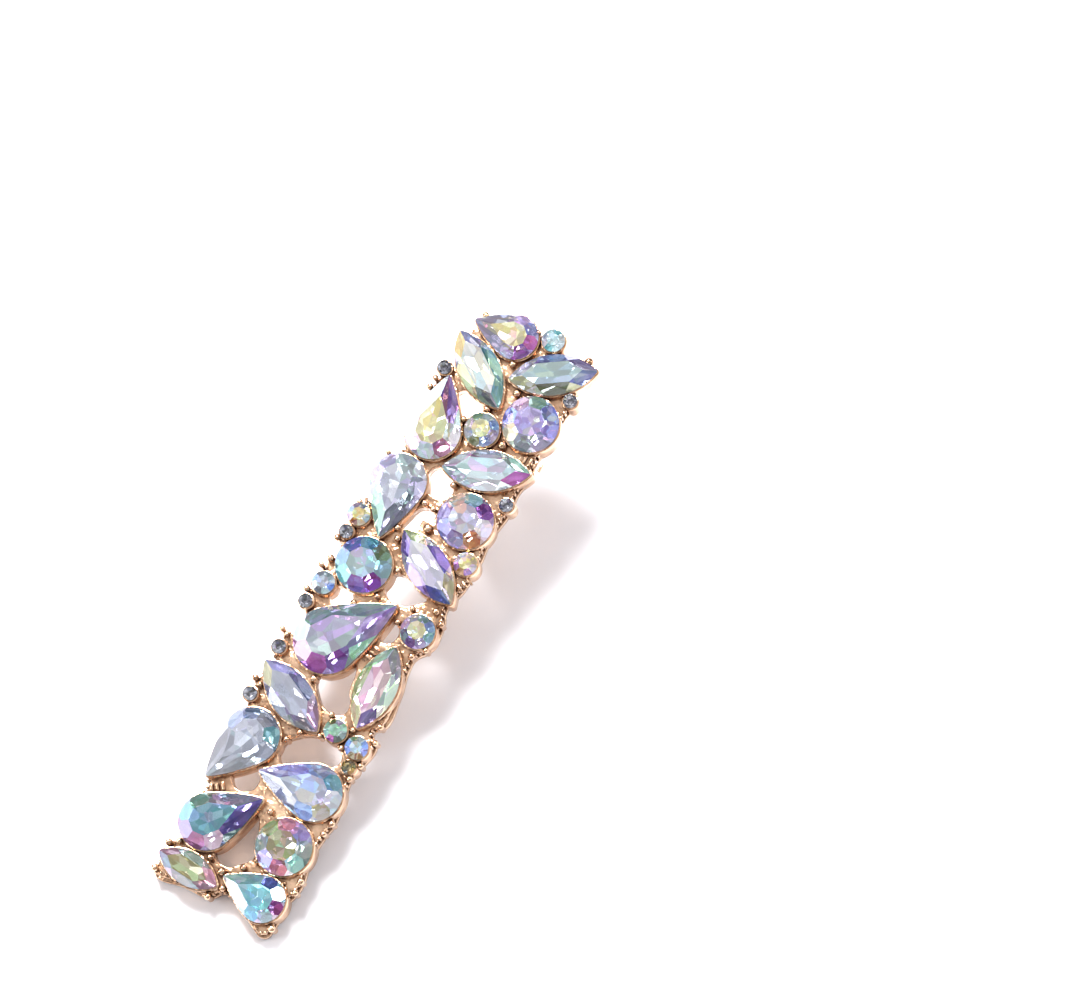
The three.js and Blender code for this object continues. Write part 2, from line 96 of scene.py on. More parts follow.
def principled(name):
    material = bpy.data.materials.new(name)
    material.use_nodes = True
    tree = material.node_tree
    return material, tree.nodes, tree.links, tree.nodes["Principled BSDF"]


def finish_mesh(name, bm, *materials):
    mesh = bpy.data.meshes.new(name)
    bm.to_mesh(mesh)
    bm.free()
    for material in materials:
        mesh.materials.append(material)
    piece = bpy.data.objects.new(name, mesh)
    bpy.context.collection.objects.link(piece)
    return piece


floor_material, _, _, floor_shader = principled("white_sweep")
floor_shader.inputs["Base Color"].default_value = FLOOR_COLOUR
floor_shader.inputs["Roughness"].default_value = FLOOR_ROUGHNESS
floor_shader.inputs["Specular IOR Level"].default_value = FLOOR_SHEEN
floor_bm = bmesh.new()
bmesh.ops.create_grid(floor_bm, x_segments=2, y_segments=2, size=FLOOR_SIZE / 2)
floor = finish_mesh("floor", floor_bm, floor_material)

world = bpy.data.worlds.new("studio")
bpy.context.scene.world = world
world.use_nodes = True
studio = world.node_tree.nodes
sky = studio["Background"]
sky.inputs["Strength"].default_value = SKY_STRENGTH
direction = studio.new("ShaderNodeTexCoord")
panels = studio.new("ShaderNodeTexNoise")
panels.inputs["Scale"].default_value = SKY_PANEL_SCALE
panels.inputs["Detail"].default_value = SKY_PANEL_DETAIL
height = studio.new("ShaderNodeSeparateXYZ")
lift = studio.new("ShaderNodeMath")
lift.operation = "MULTIPLY_ADD"
lift.inputs[1].default_value = SKY_LIFT
gaps = studio.new("ShaderNodeValToRGB")
for stop, position, colour in zip(gaps.color_ramp.elements, GAP_EDGE, (SKY_DARK, SKY_BRIGHT)):
    stop.position, stop.color = position, colour
world.node_tree.links.new(direction.outputs["Generated"], panels.inputs["Vector"])
world.node_tree.links.new(direction.outputs["Generated"], height.inputs["Vector"])
world.node_tree.links.new(height.outputs["Z"], lift.inputs[0])
world.node_tree.links.new(panels.outputs["Fac"], lift.inputs[2])
world.node_tree.links.new(lift.outputs["Value"], gaps.inputs["Fac"])
world.node_tree.links.new(gaps.outputs["Color"], sky.inputs["Color"])

for name, ((right, away, up), power, size) in SOFT_BOXES.items():
    light = bpy.data.lights.new(name, "AREA")
    light.energy = power
    light.shape = "RECTANGLE"
    light.size, light.size_y = size
    lamp = bpy.data.objects.new(name, light)
    lamp.location = VIEW_CENTRE + view_right * right + view_away * away + Vector((0, 0, up))
    lamp.rotation_euler = (VIEW_CENTRE - lamp.location).to_track_quat("-Z", "Y").to_euler()
    bpy.context.collection.objects.link(lamp)

# The casting's web
# The pierced plate that carries the cups is cast in alloy and plated in warm gold. Its back is a smooth
# flange, and above it a narrower waist rises to the top of the web. Its openings have cast, rounded edges.
ROUND, MEDIUM, SMALL, TINY = 6.0, 3.7, 2.45, 1.5
FLANGE_HEIGHT = 0.9
WEB_HEIGHT = 2.0
RIM_HEIGHT = 2.75
WAIST_DEPTH = 0.3
EDGE_ROUNDING = 0.12
EDGE_STEPS = 2
CURVE_STEPS = 6
WELD_DISTANCE = 1e-4
STUD_PLACE = (-0.65, 58.9)
PAD_RADIUS, PAD_HEIGHT = 1.8, 1.1
COLLAR_RADIUS = 1.5
PIN_RADIUS, PIN_LENGTH = 0.4, 10.4
COLLAR_HEIGHT = 2.7
PIN_ROUNDING = 0.2
STUD_REACH = PAD_HEIGHT + COLLAR_HEIGHT + PIN_LENGTH
LOWER_EDGE = -1.33
PANEL_TILT = atan(STUD_REACH / (STUD_PLACE[1] - PIN_RADIUS + PIN_ROUNDING - LOWER_EDGE))
PANEL_PLACE = Vector((0.5576, -32.4496, 0.3062))
panel_matrix = Matrix.Scale(MM, 4) @ Matrix.Translation(PANEL_PLACE) @ Matrix.Rotation(PANEL_TILT, 4, "X")

WEB_EDGE = [
    (-7.0, -1.33), (-3.4, -1.0), (-0.4, -0.6), (0.6, 0.5), (3.0, 0.1), (4.6, -0.85), (6.6, -1.33),
    (7.0, 0.0), (6.9, 2.6), (7.3, 4.8), (6.7, 8.0), (6.7, 10.6), (6.9, 12.2), (6.5, 15.0), (6.0, 17.2),
    (6.3, 18.9), (6.5, 21.4), (5.5, 22.5), (6.2, 23.3), (6.0, 27.0), (5.3, 30.0), (5.3, 31.3),
    (6.2, 32.7), (6.1, 35.8), (5.5, 37.3), (6.0, 40.0), (6.0, 43.3), (5.7, 46.0), (6.0, 49.7),
    (5.7, 51.6), (6.1, 53.8), (5.7, 55.2), (6.1, 58.0), (5.9, 61.0), (6.2, 62.8), (5.8, 63.8),
    (6.6, 66.3), (5.4, 67.1), (2.2, 66.3), (0.8, 67.7), (-0.9, 67.2), (-2.6, 67.4), (-6.9, 66.3),
    (-7.5, 64.8), (-7.7, 63.3), (-7.0, 60.8), (-7.9, 59.0), (-8.0, 56.9), (-7.6, 55.5), (-7.9, 53.0),
    (-7.3, 49.9), (-8.2, 48.4), (-7.5, 43.4), (-8.2, 42.0), (-8.2, 38.4), (-7.2, 37.0), (-8.0, 35.9),
    (-8.0, 34.2), (-8.1, 31.0), (-7.1, 29.6), (-7.0, 27.8), (-8.0, 27.0), (-8.0, 25.0), (-7.6, 23.5),
    (-8.1, 21.3), (-8.0, 19.3), (-7.4, 18.3), (-7.8, 15.5), (-7.3, 10.0), (-6.8, 9.3), (-7.2, 6.5),
    (-6.2, 3.3), (-7.0, 2.2), (-7.1, -0.7),
]
OPENINGS = [
    [(-5.0, 58.2), (-5.2, 57.1), (-4.1, 55.9), (-3.2, 56.0), (-2.0, 57.4), (-2.6, 57.9)],
    [(-3.2, 49.8), (-3.0, 47.6), (-1.9, 46.9), (-0.4, 47.6), (-0.4, 48.8), (-1.4, 49.7)],
    [(-2.1, 45.4), (-2.9, 44.0), (-3.3, 42.8), (-1.6, 43.0), (-1.4, 44.3), (-0.6, 44.8), (-0.6, 45.4)],
    [(-1.3, 37.6), (-1.3, 36.3), (-0.7, 35.5), (0.9, 35.3), (2.7, 36.4), (3.2, 37.3), (1.8, 37.7),
     (-0.4, 38.2)],
    [(-2.5, 24.9), (-1.4, 22.9), (0.1, 22.1), (1.8, 22.5), (2.0, 23.5), (1.1, 25.1), (0.7, 27.1), (0.2, 27.7),
     (-0.7, 26.9), (-1.5, 25.6)],
    [(-2.0, 16.9), (-1.4, 15.1), (-0.4, 15.2), (2.1, 17.0), (4.0, 17.6), (4.1, 18.6), (3.2, 19.3),
     (2.0, 19.6), (0.5, 19.2), (-1.0, 18.3)],
    [(-1.2, 9.1), (-2.0, 5.3), (-2.5, 3.8), (-0.5, 3.0), (0.7, 4.0), (1.5, 5.2), (0.5, 7.8), (-0.4, 9.1)],
]
ROUND_OPENINGS = [(-4.7, 33.0, 2.4, 2.6), (1.5, 32.3, 2.2, 2.4), (-3.6, 11.9, 3.0, 2.9)]


def draw_in(points, depth):
    moved = []
    for i, point in enumerate(points):
        way = (points[(i + 1) % len(points)] - points[i - 1]).normalized()
        moved.append(Vector((point.x - way.y * depth, point.y + way.x * depth)))
    return moved


def cast_plate(name, outer, inner, bottom, top):
    """A flat curve with holes, given a depth and rounded edges, as a bmesh in the panel's own millimetres."""
    flat = bpy.data.curves.new(name, "CURVE")
    flat.dimensions = "2D"
    flat.fill_mode = "BOTH"
    flat.extrude = (top - bottom) / 2 - EDGE_ROUNDING
    flat.bevel_depth = EDGE_ROUNDING
    flat.bevel_resolution = EDGE_STEPS
    flat.offset = -EDGE_ROUNDING
    flat.resolution_u = CURVE_STEPS
    for loop in [outer, *inner]:
        spline = flat.splines.new("BEZIER")
        spline.bezier_points.add(len(loop) - 1)
        for knot, point in zip(spline.bezier_points, loop):
            knot.co = (point[0], point[1], 0)
            knot.handle_left_type = knot.handle_right_type = "AUTO"
        spline.use_cyclic_u = True
    shape = bpy.data.objects.new(name, flat)
    bpy.context.collection.objects.link(shape)
    bpy.context.view_layer.update()
    mesh = bpy.data.meshes.new_from_object(shape.evaluated_get(bpy.context.evaluated_depsgraph_get()))
    bm = bmesh.new()
    bm.from_mesh(mesh)
    bmesh.ops.translate(bm, vec=(0, 0, (top + bottom) / 2), verts=bm.verts)
    bmesh.ops.remove_doubles(bm, verts=bm.verts, dist=WELD_DISTANCE)
    bpy.data.objects.remove(shape)
    bpy.data.curves.remove(flat)
    bpy.data.meshes.remove(mesh)
    return bm


def ellipse(across, along, width, height, steps=8):
    turns = [2 * pi * i / steps for i in range(steps)]
    return [(across + width / 2 * cos(t), along + height / 2 * sin(t)) for t in turns]


def join_meshes(whole, *others):
    for other in others:
        mesh = bpy.data.meshes.new("joining")
        other.to_mesh(mesh)
        other.free()
        whole.from_mesh(mesh)
        bpy.data.meshes.remove(mesh)
    return whole


GOLD_SHADES = ((0.30, (0.46, 0.262, 0.155, 1)), (0.70, (0.87, 0.60, 0.40, 1)))
# Painted shade: the dark brown that the plating turns towards in hollows and between parts, where ambient
# occlusion finds them.
GOLD_PAINTED_SHADE = (0.14, 0.055, 0.025, 1)
GOLD_ROUGHNESS = (0.12, 0.30)
TONE_SCALE, TONE_DETAIL = 420, 3
SKIN_SCALE, SKIN_DETAIL, SKIN_STRENGTH, SKIN_DEPTH = 2600, 4, 0.5, 0.04 * MM
LUMP_SCALE, LUMP_DETAIL, LUMP_DEPTH = 800, 2, 0.3 * MM
PAINTED_SHADE_REACH = 0.6 * MM
PAINTED_SHADE_RANGE = (0.25, 0.8)
CAST_UNEVENNESS, DRAWN_UNEVENNESS = 0.8, 0.08


def add_noise(nodes, links, place, scale, detail):
    noise = nodes.new("ShaderNodeTexNoise")
    noise.inputs["Scale"].default_value = scale
    noise.inputs["Detail"].default_value = detail
    links.new(place.outputs["Object"], noise.inputs["Vector"])
    return noise.outputs["Fac"]


def add_range(nodes, links, value, reach, ends):
    """Turns a value within its reach into one between two ends."""
    span = nodes.new("ShaderNodeMapRange")
    span.inputs["From Min"].default_value, span.inputs["From Max"].default_value = reach
    span.inputs["To Min"].default_value, span.inputs["To Max"].default_value = ends
    links.new(value, span.inputs["Value"])
    return span.outputs["Result"]


def warm_gold(name, unevenness):
    """Plating whose tone drifts, with painted shade darkening its hollows, and an uneven, finely grained
    skin.
    """
    material, nodes, links, shader = principled(name)
    shader.inputs["Metallic"].default_value = 1.0
    place = nodes.new("ShaderNodeTexCoord")
    skin_noise = add_noise(nodes, links, place, SKIN_SCALE, SKIN_DETAIL)
    tone = add_noise(nodes, links, place, TONE_SCALE, TONE_DETAIL)
    lumps = add_noise(nodes, links, place, LUMP_SCALE, LUMP_DETAIL)

    shades = nodes.new("ShaderNodeValToRGB")
    for stop, (position, colour) in zip(shades.color_ramp.elements, GOLD_SHADES):
        stop.position, stop.color = position, colour
    links.new(tone, shades.inputs["Fac"])
    # Painted shade: the occlusion darkens the plating towards a dark brown in hollows and between parts.
    occlusion = nodes.new("ShaderNodeAmbientOcclusion")
    occlusion.inputs["Distance"].default_value = PAINTED_SHADE_REACH
    occlusion.samples = 4
    painted_shade = nodes.new("ShaderNodeMix")
    painted_shade.data_type = "RGBA"
    painted_shade.inputs["A"].default_value = GOLD_PAINTED_SHADE
    links.new(add_range(nodes, links, occlusion.outputs["AO"], PAINTED_SHADE_RANGE, (0, 1)), painted_shade.inputs["Factor"])
    links.new(shades.outputs["Color"], painted_shade.inputs["B"])
    links.new(painted_shade.outputs["Result"], shader.inputs["Base Color"])
    links.new(add_range(nodes, links, tone, (0, 1), GOLD_ROUGHNESS), shader.inputs["Roughness"])

    skin = nodes.new("ShaderNodeBump")
    skin.inputs["Strength"].default_value = SKIN_STRENGTH
    skin.inputs["Distance"].default_value = SKIN_DEPTH
    links.new(skin_noise, skin.inputs["Height"])
    casting = nodes.new("ShaderNodeBump")
    casting.inputs["Strength"].default_value = unevenness
    casting.inputs["Distance"].default_value = LUMP_DEPTH
    links.new(lumps, casting.inputs["Height"])
    links.new(skin.outputs["Normal"], casting.inputs["Normal"])
    links.new(casting.outputs["Normal"], shader.inputs["Normal"])
    return material


gold = warm_gold("warm_gold_plating", CAST_UNEVENNESS)
polished_gold = warm_gold("polished_gold_plating", DRAWN_UNEVENNESS)


def metal_piece(name, bm, smooth_to=40, material=gold):
    bmesh.ops.transform(bm, matrix=panel_matrix, verts=bm.verts)
    piece = finish_mesh(name, bm, material)
    piece.data.shade_smooth()
    piece.data.set_sharp_from_angle(angle=radians(smooth_to))
    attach(piece, "root")
    return piece


# The cups
# Under each stone the casting rises into a thin-walled cup with a rounded rim. The stone's back drops into
# it and is glued, and its girdle stands just over the rim.
POINT_RADIUS = 0.25
PEAR_LEAN_SHARE = 0.68
CUP_PROUD = 0.15
CUP_OVERLAP = 0.1
SEAT_GAP = 0.12
RIM_ROUNDING = 0.07
RIM_CORNER = 0.3
POCKET_MARGIN = 0.03
GIRDLE_LIFT = 0.25
GIRDLE_THICKNESS = 0.15
PAVILION_SLOPE = radians(36)
CUTS = {
    "round": ("round", ROUND, ROUND),
    "medium_round": ("round", MEDIUM, MEDIUM),
    "small_round": ("round", SMALL, SMALL),
    "tiny_round": ("round", TINY, TINY),
    "pear": ("pear", 9.2, 6.0),
    "large_pear": ("pear", 11.6, 7.1),
    "small_pear": ("pear", 7.1, 4.9),
    "navette": ("navette", 9.3, 4.4),
    "small_navette": ("navette", 7.1, 3.45),
}
# Each stone from the top end down: cut, place across and along, turn of its point, the colour of its
# table, and the colours that its crown facets flash, counterclockwise from the point.
STONES = [
    ("small_pear", -2.75, 65.7, 185, "straw", "silver silver purple magenta periwinkle lilac silver"),
    ("small_round", 0.95, 67.3, 0, "ice", "ice white aqua ice silver white aqua ice"),
    ("navette", -4.3, 60.85, -34, "white", "aqua teal periwinkle amber straw smoke"),
    ("navette", 2.8, 64.1, 34, "ice", "lilac periwinkle silver straw olive periwinkle"),
    ("tiny_round", 5.8, 62.55, 0, "smoke", "smoke silver white smoke silver smoke white silver"),
    ("tiny_round", -7.65, 59.3, 0, "smoke", "smoke white silver smoke smoke silver white silver"),
    ("pear", -5.2, 52.75, 104, "straw", "ice ice pink ice maroon white purple"),
    ("medium_round", -0.75, 55.4, 0, "straw", "lilac blue ice mint white silver olive periwinkle"),
    ("round", 3.45, 58.4, 10, "lilac", "lilac periwinkle mint pink blue straw smoke silver"),
    ("navette", 1.9, 51.9, 24, "ice", "mint smoke silver ice white magenta"),
    ("pear", -5.6, 46.45, 282, "silver", "smoke silver white ice lilac lilac mint"),
    ("round", 2.75, 46.2, 5, "silver", "white purple aqua ice lilac periwinkle lilac copper"),
    ("tiny_round", 5.6, 49.75, 0, "smoke", "smoke silver white smoke silver smoke white silver"),
    ("small_round", -7.4, 41.4, 0, "straw", "ice straw blue periwinkle blue lilac copper straw"),
    ("tiny_round", -7.65, 39.2, 0, "smoke", "smoke white silver smoke smoke silver white silver"),
    ("round", -4.2, 37.05, 12, "ice", "ice olive teal blue blue aqua purple magenta"),
    ("navette", 1.8, 40.1, -28, "white", "straw violet lime violet lilac navy"),
    ("small_round", 5.1, 42.3, 0, "straw", "white straw white ice lilac purple copper purple"),
    ("small_round", -6.9, 33.35, 0, "silver", "blue silver ice smoke blue silver smoke ice"),
    ("tiny_round", -7.55, 30.8, 0, "smoke", "smoke silver white smoke silver smoke white silver"),
    ("large_pear", -3.4, 28.3, 56, "silver", "mint mint ice pink magenta purple lilac"),
    ("medium_round", 4.4, 33.75, 0, "straw", "aqua blue mint silver pink smoke purple lilac"),
    ("tiny_round", -7.5, 25.3, 0, "smoke", "smoke white silver smoke smoke silver white silver"),
    ("navette", -3.65, 21.5, -24, "silver", "pink slate periwinkle olive silver smoke"),
    ("navette", 3.66, 26.6, 95, "pink", "mint lime straw violet ice smoke"),
    ("tiny_round", -7.55, 19.6, 0, "smoke", "smoke silver white smoke silver smoke white silver"),
    ("small_round", 2.3, 20.65, 0, "mint", "silver mint silver olive mint ice magenta smoke"),
    ("small_round", 5.15, 20.2, 0, "ice", "lilac blue ice mint blue periwinkle amber copper"),
    ("tiny_round", 5.45, 18.1, 0, "olive", "amber olive smoke copper amber olive smoke amber"),
    ("pear", -5.1, 15.9, 252, "silver", "white silver aqua smoke slate slate smoke"),
    ("pear", 3.7, 14.05, 188, "silver", "silver blue straw white aqua silver lilac"),
    ("pear", -4.45, 5.95, 51.5, "teal", "smoke mint aqua lilac maroon pink violet"),
    ("round", 3.9, 7.7, 20, "olive", "ice lilac rose lime ice periwinkle rose aqua"),
    ("small_navette", -3.6, 0.85, -2, "olive", "rose mint pink slate smoke rose"),
    ("small_pear", 4.72, 1.97, 179, "aqua", "white teal white magenta white navy mint"),
]


def arc(x, y, radius, start, stop, steps):
    turns = [start + (stop - start) * i / steps for i in range(steps)]
    return [Vector((x + radius * cos(t), y + radius * sin(t))) for t in turns]


def outline(cut, grow=0.0, fine=3):
    """A cut's girdle seen from above, about its middle or a pear's round end, its point along +X."""
    shape, length, width = CUTS[cut]
    if shape == "round":
        return arc(0, 0, width / 2 + grow, pi / 16, 2 * pi + pi / 16, 16 * fine)
    edge_radius = POINT_RADIUS + grow
    half = width / 2 - POINT_RADIUS
    if shape == "navette":
        reach = length / 2 - POINT_RADIUS
        bow = (reach**2 + half**2) / (2 * half)
        spread = asin(reach / bow)
        return [
            *arc(reach, 0, edge_radius, spread - pi / 2, pi / 2 - spread, 2 * fine),
            *arc(0, half - bow, bow + edge_radius, pi / 2 - spread, pi / 2 + spread, 6 * fine),
            *arc(-reach, 0, edge_radius, pi / 2 + spread, 3 * pi / 2 - spread, 2 * fine),
            *arc(0, bow - half, bow + edge_radius, 3 * pi / 2 - spread, 3 * pi / 2 + spread, 6 * fine),
        ]
    reach = length - width / 2 - POINT_RADIUS
    lean = PEAR_LEAN_SHARE * asin(half / reach)
    side = (half**2 + reach**2 - 2 * half * reach * sin(lean)) / (2 * (half - reach * sin(lean)))
    back = Vector((-(side - half) * sin(lean), -(side - half) * cos(lean)))
    point = atan2(-back.y, reach - back.x)
    leave = pi / 2 - lean
    return [
        *arc(reach, 0, edge_radius, -point, point, 2 * fine),
        *arc(back.x, back.y, side + edge_radius, point, leave, 3 * fine),
        *arc(0, 0, half + edge_radius, leave, 2 * pi - leave, 10 * fine),
        *arc(back.x, -back.y, side + edge_radius, -leave, -point, 3 * fine),
    ]


def pavilion_depth(cut):
    return GIRDLE_THICKNESS + CUTS[cut][2] / 2 * tan(PAVILION_SLOPE)


def on_panel(across, along, turn, height=0.0):
    return Matrix.Translation((across, along, height)) @ Matrix.Rotation(radians(turn), 4, "Z")


def pocket_floor(cut):
    return RIM_HEIGHT + GIRDLE_LIFT - pavilion_depth(cut) - SEAT_GAP


def cut_pockets(plate_bm):
    """Gives back the plate with the space for every cup's inside taken out."""
    pockets_bm = bmesh.new()
    for cut, across, along, turn, _, _ in STONES:
        place = on_panel(across, along, turn, pocket_floor(cut) - POCKET_MARGIN)
        rim = [pockets_bm.verts.new(place @ point.to_3d()) for point in outline(cut, POCKET_MARGIN)]
        base = pockets_bm.faces.new(reversed(rim))
        grown = bmesh.ops.extrude_face_region(pockets_bm, geom=[base])["geom"]
        bmesh.ops.translate(pockets_bm, vec=(0, 0, RIM_HEIGHT),
                            verts=[item for item in grown if isinstance(item, bmesh.types.BMVert)])
    bmesh.ops.recalc_face_normals(pockets_bm, faces=pockets_bm.faces)
    bmesh.ops.recalc_face_normals(plate_bm, faces=plate_bm.faces)
    plate = finish_mesh("plate", plate_bm)
    pockets = finish_mesh("pockets", pockets_bm)
    hollow = plate.modifiers.new("pockets", "BOOLEAN")
    hollow.operation = "DIFFERENCE"
    hollow.object = pockets
    hollow.solver = "EXACT"
    hollow.use_self = True
    bpy.context.view_layer.update()
    mesh = bpy.data.meshes.new_from_object(plate.evaluated_get(bpy.context.evaluated_depsgraph_get()))
    hollowed = bmesh.new()
    hollowed.from_mesh(mesh)
    for spare in (plate, pockets):
        data = spare.data
        bpy.data.objects.remove(spare)
        bpy.data.meshes.remove(data)
    bpy.data.meshes.remove(mesh)
    return hollowed


edge = [Vector(point) for point in WEB_EDGE]
waist = draw_in(edge, WAIST_DEPTH)
holes = OPENINGS + [ellipse(*row) for row in ROUND_OPENINGS]
web_bm = join_meshes(
    cut_pockets(cast_plate("flange", edge, holes, 0, FLANGE_HEIGHT)),
    cut_pockets(cast_plate("waist", waist, holes, FLANGE_HEIGHT / 2, WEB_HEIGHT)),
)
web = metal_piece("panel_web", web_bm)
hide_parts("cast_frame")


def cast_cup(bm, cut, across, along, turn):
    """The foot's outline is drawn up the wall, over the rounded rim and down to the pocket's floor."""
    place = on_panel(across, along, turn)
    last = [place @ point.to_3d() for point in outline(cut, CUP_PROUD)]
    base = bm.faces.new(reversed([bm.verts.new(point) for point in last]))
    ring = list(base.edges)
    for grow, height in [
        (CUP_PROUD, RIM_HEIGHT - RIM_ROUNDING),
        (CUP_PROUD - RIM_ROUNDING * RIM_CORNER, RIM_HEIGHT - RIM_ROUNDING * RIM_CORNER),
        (CUP_PROUD - RIM_ROUNDING, RIM_HEIGHT),
        (-CUP_OVERLAP, RIM_HEIGHT),
        (-CUP_OVERLAP, pocket_floor(cut)),
    ]:
        grown = bmesh.ops.extrude_edge_only(bm, edges=ring)["geom"]
        ring = [item for item in grown if isinstance(item, bmesh.types.BMEdge) and item.is_boundary]
        level = [place @ (point.to_3d() + Vector((0, 0, height))) for point in outline(cut, grow)]
        for vert in {vert for line in ring for vert in line.verts}:
            vert.co = level[min(range(len(last)), key=lambda i: (last[i] - vert.co).length)]
        last = level
    bmesh.ops.edgeloop_fill(bm, edges=ring)


cups_bm = bmesh.new()
for cut, across, along, turn, _, _ in STONES:
    cast_cup(cups_bm, cut, across, along, turn)
bmesh.ops.recalc_face_normals(cups_bm, faces=cups_bm.faces)
metal_piece("stone_cups", cups_bm)

# The grains
# Small round heads stand beside the stones, cast up from the web as short posts. On the real piece they
# pass for claws, and they fill the corners that the stones leave.
GRAIN_RADIUS = 0.38
GRAIN_TOP = 3.05
GRAIN_FLATTENING = 0.85
GRAIN_HEAD_SHARE = 0.98
STEM_FOOT_SHARE, STEM_TOP_SHARE = 0.92, 0.8
GRAIN_SIDES, GRAIN_RINGS = 14, 8
# Each grain from the top end down: its place across and along, and its share of the usual radius.
GRAINS = [
    (-6.8, 66.3, 1.0), (5.3, 67.2, 1.3), (-0.95, 67.3, 0.9), (-1.6, 63.1, 1.0), (0.4, 60.6, 1.2),
    (-1.5, 57.6, 0.9), (-3.1, 55.5, 1.0), (1.9, 55.1, 1.3), (-8.0, 57.9, 0.9), (-8.0, 56.8, 1.0),
    (-8.2, 48.6, 0.8), (-0.4, 48.9, 1.0), (-2.0, 45.8, 1.1), (-0.9, 45.7, 0.9), (-0.4, 43.7, 1.4),
    (-8.1, 42.6, 0.9), (-3.2, 42.2, 0.9), (-2.6, 41.2, 1.0), (-8.2, 38.2, 1.0), (-0.8, 38.3, 0.9),
    (-7.7, 36.0, 1.1), (-1.3, 34.9, 0.9), (-8.2, 34.9, 0.9), (-8.2, 32.0, 1.0), (4.9, 36.5, 1.0),
    (2.6, 35.6, 0.9), (6.1, 35.6, 0.9), (2.0, 33.6, 0.9), (6.1, 32.5, 0.9), (5.1, 31.2, 1.0),
    (-3.1, 33.1, 1.0), (-8.2, 27.1, 0.9), (-7.5, 26.8, 0.9), (-2.6, 24.2, 1.0), (6.1, 23.3, 1.0),
    (1.0, 21.9, 0.9), (-8.0, 21.3, 1.0), (-7.2, 20.9, 0.9), (6.5, 21.6, 0.9), (3.75, 21.6, 0.9),
    (1.1, 19.4, 0.9), (3.7, 19.4, 0.9), (6.4, 18.8, 0.9), (-0.9, 18.7, 1.0), (-1.8, 17.4, 0.9),
    (6.1, 17.1, 0.9), (6.9, 12.2, 1.0), (6.7, 10.9, 0.9), (0.75, 10.1, 1.0), (7.2, 5.5, 1.0),
    (2.1, 5.1, 0.9), (7.3, 4.2, 0.9), (1.3, 3.8, 1.0), (-2.3, 3.0, 0.9), (-6.0, 2.8, 0.9),
    (-0.5, 2.3, 1.2), (-6.9, 2.2, 1.1), (0.5, 0.9, 1.0), (7.1, -0.1, 1.1), (-0.4, -0.6, 1.0),
    (-6.8, -0.8, 1.1),
]

grains_bm = bmesh.new()
for across, along, share in GRAINS:
    radius = GRAIN_RADIUS * share
    middle = GRAIN_TOP - radius * GRAIN_FLATTENING
    head = Matrix.Translation((across, along, middle)) @ Matrix.Diagonal((1, 1, GRAIN_FLATTENING, 1))
    bmesh.ops.create_uvsphere(grains_bm, u_segments=GRAIN_SIDES, v_segments=GRAIN_RINGS,
                              radius=radius * GRAIN_HEAD_SHARE, matrix=head)
    stem = Matrix.Translation((across, along, (FLANGE_HEIGHT + middle) / 2))
    bmesh.ops.create_cone(grains_bm, cap_ends=True, segments=GRAIN_SIDES, radius1=radius * STEM_FOOT_SHARE,
                          radius2=radius * STEM_TOP_SHARE, depth=middle - FLANGE_HEIGHT, matrix=stem)
metal_piece("cast_grains", grains_bm, smooth_to=60)

# The ribs
# Upright ribs run round the waist wherever no cup stands at the edge, and short rows of them cross the web
# in its wider corners. They are part of the casting and slightly rounded.
RIB_PITCH = 0.62
RIB_WIDTH = 0.3
RIB_DEPTH = 0.32
RIB_ROUNDING = 0.08
RIB_PROUD = 0.04
RIB_FOOT, RIB_TOP = 0.1, 0.15
CUP_REACH = 0.2
CROSS_RIB_DEPTH = 0.9
CROSS_RIB_FOOT, CROSS_RIB_TOP = 0.2, 0.35
# Rows that cross the web: middle across and along, way of the row in degrees, and how many ribs it has.
CROSS_ROWS = [(5.6, 55.0, 0, 4), (5.7, 39.9, 65, 5), (1.2, 29.6, 80, 3), (-7.4, 43.2, 30, 2),
              (5.9, 3.9, -50, 3), (-6.6, 18.1, 10, 2), (5.9, 17.3, 60, 2), (-5.6, 9.6, 40, 3)]


def holds(points, place):
    """Whether a closed edge goes round a place."""
    inside = False
    for i, a in enumerate(points):
        b = points[i - 1]
        if (a.y > place.y) != (b.y > place.y):
            if place.x < a.x + (place.y - a.y) / (b.y - a.y) * (b.x - a.x):
                inside = not inside
    return inside


def cup_edge(cut, across, along, turn):
    place = on_panel(across, along, turn)
    return [(place @ point.to_3d()).to_2d() for point in outline(cut, CUP_PROUD, fine=1)]


def add_rib(bm, foot, way, low, high, deep=RIB_DEPTH):
    stand = Matrix.Translation((foot.x, foot.y, (low + high) / 2)) @ Matrix.Rotation(way, 4, "Z")
    made = bmesh.ops.create_cube(bm, size=1, matrix=stand @ Matrix.Diagonal((RIB_WIDTH, deep, high - low, 1)))
    edges = {line for vert in made["verts"] for line in vert.link_edges}
    bmesh.ops.bevel(bm, geom=list(edges), offset=RIB_ROUNDING, segments=2, affect="EDGES", profile=0.5,
                    material=-1)


ribs_bm = bmesh.new()
cup_edges = [cup_edge(*row[:4]) for row in STONES]
for a, b in zip(waist, waist[1:] + waist[:1]):
    way = b - a
    outward = Vector((way.y, -way.x)).normalized()
    count = max(1, round(way.length / RIB_PITCH))
    for i in range(count):
        foot = a.lerp(b, (i + 0.5) / count) + outward * RIB_PROUD
        if not any(holds(points, foot + outward * CUP_REACH) for points in cup_edges):
            add_rib(ribs_bm, foot, atan2(way.y, way.x), FLANGE_HEIGHT - RIB_FOOT, WEB_HEIGHT + RIB_TOP)
for across, along, turn, count in CROSS_ROWS:
    step = Vector((cos(radians(turn)), sin(radians(turn)))) * RIB_PITCH
    for i in range(count):
        foot = Vector((across, along)) + step * (i - (count - 1) / 2)
        add_rib(ribs_bm, foot, radians(turn), WEB_HEIGHT - CROSS_RIB_FOOT, WEB_HEIGHT + CROSS_RIB_TOP,
                deep=CROSS_RIB_DEPTH)
metal_piece("side_ribs", ribs_bm)

